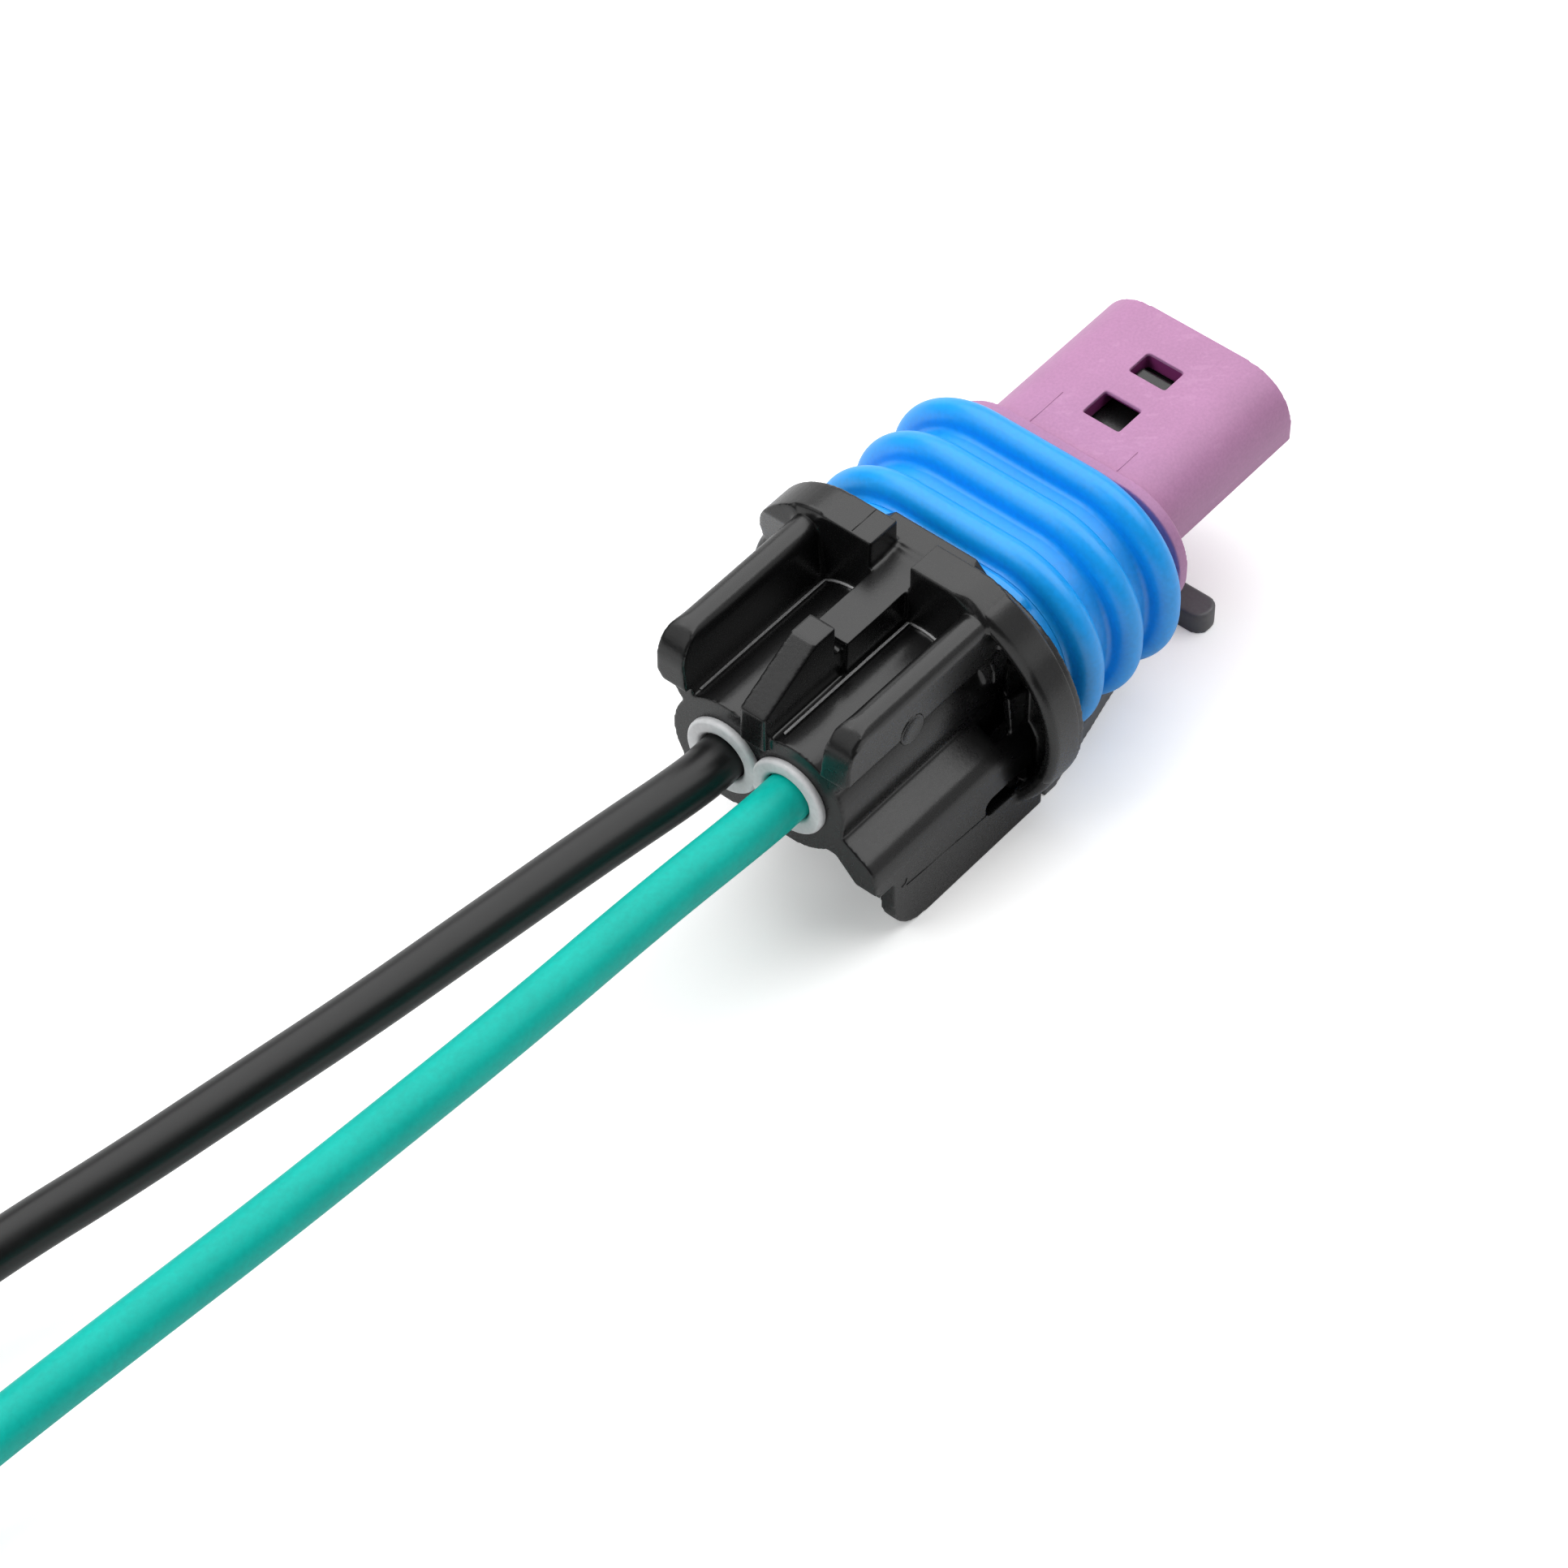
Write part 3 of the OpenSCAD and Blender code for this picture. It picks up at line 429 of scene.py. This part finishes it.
def shapeEar(points):
    # what stands out beyond the flange's round end is scaled from the hood's own rise down to the band's
    e = earSet
    x, y, z = points.T
    across = np.maximum(np.abs(y) - e["centreY"], 0)
    above = z - e["centreZ"]
    reach = np.hypot(across, above)
    turn = np.clip(np.arctan2(across, above), *e["pullTurn"])
    offY, offZ = e["hoodY"] - e["centreY"], e["hoodZ"] - e["centreZ"]
    arm = offY * np.sin(turn) + offZ * np.cos(turn)
    hoodRise = arm + np.sqrt(arm ** 2 - offY ** 2 - offZ ** 2 + e["hoodRadius"] ** 2) - e["radius"]
    rise = e["rise"] * bandFade(turn)
    near = (x > e["pullX"][0]) & (x < e["pullX"][1]) & (z > e["centreZ"])
    out = np.maximum(reach - e["radius"], 0) * near
    excess = 1 - np.clip(rise / hoodRise, 0, 1)
    pull = 1 - easeStep(-y, *e["pullY"]) * out * excess / np.maximum(reach, tiny)
    newY = np.where(across > 0, np.sign(y) * (e["centreY"] + across * pull), y)
    newZ = e["centreZ"] + above * pull
    # what is left of the right hood's skin beyond the block, but for the flange's rim, goes into the band
    hood = np.hypot(np.maximum(-y - e["hoodY"], 0), np.maximum(z - e["hoodZ"], 0)) - e["hoodRadius"]
    skin = np.abs(hood + e["skinMiddle"]) < e["skinReach"]
    rim = (x > e["rim"] + e["rimGap"]) & (np.abs(reach - e["radius"] + e["thick"] / 2) < e["rimReach"])
    tuck = easeStep(-y, *e["tuckY"]) * ((z > e["tuckZ"]) & (x < e["tuckX"]) & skin & ~rim)
    held = np.clip(reach, e["radius"] - e["holdIn"], e["radius"] + rise - e["holdOut"])
    held = held / np.maximum(reach, tiny)
    newX = x + tuck * np.maximum(bandRear(bandFade(turn)) + e["tuckBehind"] - x, 0)
    newY = newY + tuck * (-e["centreY"] - across * held - newY)
    newZ = newZ + tuck * (e["centreZ"] + above * held - newZ)
    return newX, newY, newZ


def shapeHousing(points):
    # the ear, then the walls: each square top is carried onto a half round of the wall's thickness, less and
    # less towards the rear corner
    w = wallSet
    x, y, z = points.T
    newX, newY, newZ = shapeEar(points)
    off, deep = np.abs(y) - w["middle"], w["top"] - z
    size = np.hypot(off, w["half"] - deep)
    chosen = (np.abs(off) < w["half"] + w["margin"]) & (deep < w["half"]) & (x < w["front"])
    weight = chosen * easeStep(x, w["rear"] + w["fadeFrom"], w["rear"] + w["corner"] + w["fadeTo"])
    scale = 1 + weight * (w["half"] / np.maximum(size, tiny) - 1)
    newY = np.where(chosen, np.sign(y) * (w["middle"] + off * scale), newY)
    newZ = np.where(chosen, w["top"] - w["half"] + (w["half"] - deep) * scale, newZ)
    return np.stack([newX, newY, newZ], -1)


# housing, lever and retainer keep the solids' shapes, with moulded radii; grid and boxes in mm
softSet = {
    "connector_housing": {
        "name": "housingShell", "body": "housing", "slot": "housing_black", "material": housingBlack,
        "voxel": 0.1, "softness": 6, "limit": 190000, "reshape": shapeHousing,
        "eases": {
            # the rear top edge of the collar's right block, and the collar's foot inside the hollow ear
            "blockEdges": {"x": (-7.9, -6.8), "y": (-7.5, -1.4), "z": (14.9, 16.5), "rounds": 30},
            "wallEnd": {"x": (-7.6, -5.4), "y": (-6.7, -4.7), "z": (9.0, 13.2), "rounds": 60},
        }},
    "lock_lever": {
        "name": "lockLever", "body": "lever", "slot": "lever_black", "material": leverGreyPaintedReflection,
        "voxel": 0.11, "softness": 5, "limit": 120000},
    "front_retainer": {
        "name": "frontRetainer", "body": "retainer", "slot": "retainer_purple", "material": retainerPurple,
        "voxel": 0.08, "softness": 3, "limit": 180000},
}
for node, soft in softSet.items():
    mesh = softenedCopy(node, soft)
    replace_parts(finishMesh(soft["name"], mesh, soft["body"], soft["slot"], soft["material"]), node)


def makeEarBand():
    # section = round front corner, level top, half round at the rear, foot;
    # point = flange's centre + radius * (sin turn, cos turn), closed at both ends by the section's middle
    e, b = earSet, bandSet
    turn = np.linspace(b["turnFrom"], b["turnTo"], b["steps"])
    half = e["thick"] / 2
    fade = bandFade(turn)
    sink = easeStep(turn, b["endFrom"], b["endTo"])
    rear = bandRear(fade) + b["endRear"] * sink + half
    front = e["front"] + (e["rear"] - e["rim"]) * fade - b["endFront"] * sink
    start = b["startRise"] * easeStep(turn, b["turnFrom"], b["startTo"])
    outer = e["radius"] + e["rise"] * fade - b["startDrop"] + start - b["endDrop"] * sink
    corner = np.linspace(0, np.pi / 2, b["cornerSteps"])[:, None]
    level = np.linspace(0, 1, b["levelSteps"])[1:-1, None]
    arc = np.linspace(0, np.pi, b["arcSteps"])[:, None]
    bend = b["cornerRound"]
    top = front - bend
    sectionX = np.concatenate([top + bend * np.cos(corner), top + (rear - top) * level,
                               rear - half * np.sin(arc), front[None]])
    sectionR = np.concatenate([outer - bend + bend * np.sin(corner), outer + 0 * level,
                               outer - half + half * np.cos(arc), outer[None] - e["thick"]])
    section = np.stack([sectionX, sectionR], -1)
    middle = np.broadcast_to(section.mean(0), section.shape)
    section = np.concatenate([middle[:, :1], section, middle[:, -1:]], 1)
    turn = np.concatenate([turn[:1], turn, turn[-1:]])
    x, radius = section[..., 0], section[..., 1]
    grid = np.stack([x, -e["centreY"] - radius * np.sin(turn), e["centreZ"] + radius * np.cos(turn)], -1)
    mesh = gridMesh("earBand", grid[None] * mm, closedRows=True, closedColumns=False)
    finishMesh("earBand", mesh, "housing", "housing_black", housingBlack)


makeEarBand()

# fine moulded lines: thin round beads half sunk in the surface, in mm; the pocket's foot lines are light
# grey, a painted highlight
barrelSet = {"radius": 3.44, "height": 8.6, "y": 2.1}
pocketSet = {"rear": -17.3, "front": -7.6, "lift": 0.13, "steps": 9}


def barrelTop(y):
    # height of the barrels' round tops at a distance across
    return barrelSet["height"] + np.sqrt(barrelSet["radius"] ** 2 - (np.abs(y) - barrelSet["y"]) ** 2)


def pocketLine(start, end):
    # along the barrel's foot line, then round the barrel at the pocket's front
    p = pocketSet
    y = start + (end - start) * np.linspace(0, 1, p["steps"])
    turn = np.stack([np.full(p["steps"], p["front"]), y, barrelTop(y) + p["lift"]], -1)
    return np.vstack([[(p["rear"], start, barrelTop(start) + p["lift"])], turn])


onHousing, onPocket = ("housing", "housing_black", housingBlack), ("housing", "housing_black", paintedEdgeHighlight)
onRetainer = ("retainer", "retainer_purple", retainerPurple)
beadSides = 8
beadSet = {
    "skirtSeam": (0.035, onHousing, [(-15.3, -7.6, 3.5), (-12.0, -7.6, 3.25), (-8.8, -7.6, 3.05)]),
    "skirtTick": (0.04, onHousing, [(-15.7, -7.6, 3.65), (-15.4, -7.6, 3.75), (-15.3, -7.6, 4.0)]),
    # painted highlight: light grey beads along the edges of the pocket floors
    "pocketLeft": (0.08, onPocket, pocketLine(4.15, 1.25)),
    "pocketRight": (0.08, onPocket, pocketLine(-1.3, -4.15)),
    "blockLine": (0.03, onHousing, [(-7.4, 2.55, 16.0), (-5.5, 2.55, 16.0)]),
    "creaseLeft": (0.04, onRetainer, [(7.3, 2.83, 12.0), (10.3, 2.83, 12.0)]),
    "creaseRight": (0.04, onRetainer, [(7.3, -2.83, 12.0), (9.3, -2.83, 12.0)]),
}


def makeBead(name, radius, wearer, points):
    # a circle carried along the line and shrunk to a point at both ends
    route = np.array(points, float) * mm
    last = len(route) - 1
    stations = np.concatenate([[0], np.arange(last + 1), [last]])
    radii = np.concatenate([[0], np.full(last + 1, radius * mm), [0]])
    mesh = gridMesh(name, tubeGrid(route, stations, radii, beadSides)[None], weld=meshSet["fineWeld"])
    finishMesh(name, mesh, *wearer)


for name, (radius, wearer, points) in beadSet.items():
    makeBead(name, radius, wearer, points)


# turned pieces: a closed outline of (along, radius) pairs carried round an axis
def turnedGrid(outline, along, sides):
    # point = (along, radius * cos turn, radius * sin turn), with the axis along x or y
    outline = np.array(outline, float)
    turn = np.linspace(0, 2 * np.pi, sides, endpoint=False)
    run = np.broadcast_to(outline[:, :1], (len(outline), sides))
    first, second = outline[:, 1:] * np.cos(turn), outline[:, 1:] * np.sin(turn)
    return np.stack([run, first, second] if along == "x" else [first, run, second], -1)


# the ejector's mark on the right wall, a low disc with a raised ring
markSet = {"centre": (-13.36, -6.2, 12.5), "sides": 48,
           "outline": [(0.15, 0), (0.15, 0.9), (0.0, 0.9), (-0.05, 0.86), (-0.05, 0.8), (-0.02, 0.74),
                       (-0.02, 0)]}
mark = turnedGrid(markSet["outline"], "y", markSet["sides"]) + np.array(markSet["centre"])
finishMesh("ejectorMark", gridMesh("ejectorMark", mark[None] * mm), "housing", "housing_black", housingBlack)

# cable seals: ribbed sleeve in the barrel, thin lip with a rounded rim and a dished face outside it
cableSealSet = {
    "y": 2.1, "height": 8.6, "hole": 1.37, "sides": 96, "sleeveRear": -17.6, "sleeveFront": -10.0,
    "sleeveRadius": 1.8, "ribDepth": 0.25, "ribPitch": 2.53, "ribSteps": 120,
    "rim": 0.2, "rimSteps": 9, "lipRadius": 2.28, "lipBack": -17.75, "lipFace": -18.2,
    "lipRound": 0.08, "lipFoot": 1.9,
    # along, and out from the hole
    "dish": [(-10.0, 0), (-17.5, 0), (-17.9, 0.03), (-18.1, 0.08), (-18.19, 0.2), (-18.2, 0.3)],
}


def makeCableSeal(name, sign, node):
    # outline = hole and dished face, quarter round of the rim, lip's back, sleeve with half waves for ribs
    c = cableSealSet
    face = np.array(c["dish"]) + np.array([0, c["hole"]])
    arc = np.linspace(np.pi / 2, np.pi, c["rimSteps"])
    rim = np.stack([c["lipFace"] + c["rim"] - c["rim"] * np.sin(arc),
                    c["lipRadius"] - c["rim"] - c["rim"] * np.cos(arc)], -1)
    back = np.array([(c["lipBack"] - c["lipRound"], c["lipRadius"]),
                     (c["lipBack"], c["lipRadius"] - c["lipRound"]), (c["lipBack"], c["lipFoot"])])
    along = np.linspace(c["sleeveRear"], c["sleeveFront"], c["ribSteps"])
    wave = np.abs(np.sin(np.pi * (along - c["sleeveRear"]) / c["ribPitch"]))
    sleeve = np.stack([along, c["sleeveRadius"] + c["ribDepth"] * wave], -1)
    grid = turnedGrid(np.vstack([face, rim, back, sleeve]), "x", c["sides"])
    grid = grid + np.array([0, sign * c["y"], c["height"]])
    mesh = gridMesh(name, grid[None] * mm, closedRows=True)
    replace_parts(finishMesh(name, mesh, "housing", "cable_seal_grey", cableSealGrey), node)


makeCableSeal("cableSealLeft", 1, "cable_seal_left")
makeCableSeal("cableSealRight", -1, "cable_seal_right")

# perimeter seal: a ribbed profile carried round a rounded oblong
sealSet = {
    "axisHeight": 8.2, "cornerY": 3.15, "cornerZ": 0.25, "back": -4.2, "front": 6.5,
    "valley": 4.8, "seat": 3.6, "low": 3.75,
    "ribs": (-1.85, 1.38, 4.52), "ribHeight": 1.3, "ribRadius": 0.85, "foot": 0.3,
    "endRound": 0.25, "frontRound": 0.05, "landFrom": 0.3, "landPast": 0.35,
    "padReach": 1.0, "padHeight": 0.35, "padFrom": 2.0, "padTo": 5.5, "padSlope": 0.12, "padSkin": 0.5,
    "footSteps": 8, "domeSteps": 33, "endSteps": 6, "landSteps": 14, "turns": 28, "straight": 40,
}


def sealProfile():
    # rounded rear end, level land, for each rib a hollow foot, half round and hollow foot, last the seat;
    # beyond the last rib the seal is low, where the retainer's lip hides it
    s = sealSet
    foot = np.linspace(0, np.pi / 2, s["footSteps"])
    dome = np.linspace(np.pi, 0, s["domeSteps"])
    width, hollow, crest = s["ribRadius"], s["foot"], s["valley"] + s["ribHeight"] - s["ribRadius"]
    ribX = np.concatenate([-width - hollow + hollow * np.sin(foot), width * np.cos(dome),
                           width + hollow - hollow * np.sin(foot[::-1])])
    ribR = np.concatenate([s["valley"] + hollow - hollow * np.cos(foot), crest + width * np.sin(dome),
                           s["valley"] + hollow - hollow * np.cos(foot[::-1])])
    ribR = np.tile(ribR, (len(s["ribs"]), 1))
    ribR[-1, -s["footSteps"]:] -= s["valley"] - s["low"]
    curve = np.linspace(0, np.pi / 2, s["endSteps"])
    land = np.linspace(s["back"] + s["landFrom"], s["back"] + s["padReach"] + s["landPast"], s["landSteps"])
    rearX = np.concatenate([s["back"] + s["endRound"] * (1 - np.cos(curve)), land])
    rearTurn = np.concatenate([curve, np.full(s["landSteps"], np.pi / 2)])
    rearR = s["valley"] - s["endRound"] + s["endRound"] * np.sin(rearTurn)
    along = np.concatenate([rearX, (np.array(s["ribs"])[:, None] + ribX).ravel(),
                            [s["front"] - s["frontRound"], s["front"], s["front"], 0, s["back"]]])
    radius = np.concatenate([rearR, ribR.ravel(), [s["low"], s["low"] - s["frontRound"]],
                             np.full(3, s["seat"])])
    return along, radius


def sealPath():
    # turn and centre of each station round the oblong: four quarter rounds, level runs above and below
    s = sealSet
    quarter = np.linspace(0, np.pi / 2, s["turns"])
    level = np.linspace(1, -1, s["straight"])[1:-1]
    one, flat = np.ones(s["turns"]), np.ones(len(level))
    turn = np.concatenate([quarter, flat * np.pi / 2, quarter + np.pi / 2,
                           quarter + np.pi, flat * 1.5 * np.pi, quarter + 1.5 * np.pi])
    cornerY = s["cornerY"] * np.concatenate([one, level, -one, -one, -level, one])
    cornerZ = s["cornerZ"] * np.concatenate([one, flat, one, -one, -flat, -one]) + s["axisHeight"]
    return turn, cornerY, cornerZ


def makeSeal():
    # point = corner's centre + radius * (cos turn, sin turn), with two raised pads at the rear of the top
    s = sealSet
    along, radius = sealProfile()
    turn, cornerY, cornerZ = sealPath()
    flatY = np.abs(cornerY + s["valley"] * np.cos(turn))
    padInner = np.clip((flatY - s["padFrom"]) / s["padSlope"], 0, 1)
    padOuter = np.clip((s["padTo"] - flatY) / s["padSlope"], 0, 1)
    padAcross = padInner * padOuter * (np.sin(turn) > 0)
    padEnd = np.clip((s["back"] + s["padReach"] - along) / s["padSlope"], 0, 1)
    padAlong = padEnd * (radius > s["seat"] + s["padSkin"])
    radius = radius[:, None] + s["padHeight"] * padAlong[:, None] * padAcross[None]
    y = cornerY[None] + radius * np.cos(turn)[None]
    z = cornerZ[None] + radius * np.sin(turn)[None]
    grid = np.stack([np.broadcast_to(along[:, None], y.shape), y, z], -1) * mm
    mesh = gridMesh("ribbedSeal", grid[None], closedRows=True)
    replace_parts(finishMesh("ribbedSeal", mesh, "housing", "seal_blue", sealBlue), "perimeter_seal")


makeSeal()

# the solids inside the housing keep their own meshes
innerSet = {"terminal_left": terminalTin, "terminal_right": terminalTin,
            "conductor_left": copperCore, "conductor_right": copperCore}
for node, material in innerSet.items():
    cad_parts[node].data.materials.clear()
    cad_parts[node].data.materials.append(material)
print("pieces made")

# pale floor and dim surroundings: brighter for the camera by lift, darker in reflections as mirrored says
floorSet = {"half": 2, "tone": (0.9, 0.9, 0.9, 1), "mirrored": (0.66, 0.66, 0.66, 1), "lift": 0.28,
            "roughness": 0.9, "around": 0.075}


def makeFloor():
    f = floorSet
    half = f["half"]
    mesh = bpy.data.meshes.new("floor")
    corners = [(-half, -half, 0), (half, -half, 0), (half, half, 0), (-half, half, 0)]
    mesh.from_pydata(corners, [], [(0, 1, 2, 3)])
    floor = bpy.data.objects.new("floor", mesh)
    scene.collection.objects.link(floor)
    paper, tree = newMaterial("paper")
    rays = addNode(tree, "ShaderNodeLightPath").outputs
    surface = addNode(tree, "ShaderNodeBsdfPrincipled", {
        "Base Color": mixColour(tree, rays["Is Glossy Ray"], f["tone"], f["mirrored"]),
        "Roughness": f["roughness"], "Specular IOR Level": 0.0, "Emission Color": (1, 1, 1, 1),
        "Emission Strength": mathValue(tree, "MULTIPLY", rays["Is Camera Ray"], f["lift"])})
    addNode(tree, "ShaderNodeOutputMaterial", {"Surface": surface.outputs["BSDF"]})
    mesh.materials.append(paper)
    scene.world = bpy.data.worlds.new("studio")
    scene.world.use_nodes = True
    around = scene.world.node_tree.nodes["Background"].inputs
    around["Color"].default_value = (1, 1, 1, 1)
    around["Strength"].default_value = f["around"]


makeFloor()

# soft key light, weaker fills on both sides, a shadow lamp kept out of reflections, a low bright backdrop
lampSet = {
    "key": {"power": 9.6, "size": (1.5, 0.9), "place": (0.26, 0.08, 0.66), "mirrored": True},
    "fillLeft": {"power": 1.6, "size": (0.8, 0.8), "place": (-0.48, 0.35, 0.58), "mirrored": True},
    "fillRight": {"power": 0.9, "size": (0.9, 0.7), "place": (0.55, -0.62, 0.38), "mirrored": True},
    "shade": {"power": 2.9, "size": (0.45, 0.45), "place": (-0.42, 0.3, 0.56), "mirrored": False},
    "backdrop": {"power": 1.7, "size": (1.5, 0.4), "place": (0.75, 0.62, 0.2), "mirrored": True},
}
for name, lamp in lampSet.items():
    lampData = bpy.data.lights.new(name, "AREA")
    lampData.shape, lampData.energy = "RECTANGLE", lamp["power"]
    lampData.size, lampData.size_y = lamp["size"]
    light = bpy.data.objects.new(name, lampData)
    scene.collection.objects.link(light)
    light.visible_glossy = lamp["mirrored"]
    aim(light, lamp["place"], (0, 0, 0))
print("floor and lamps set")
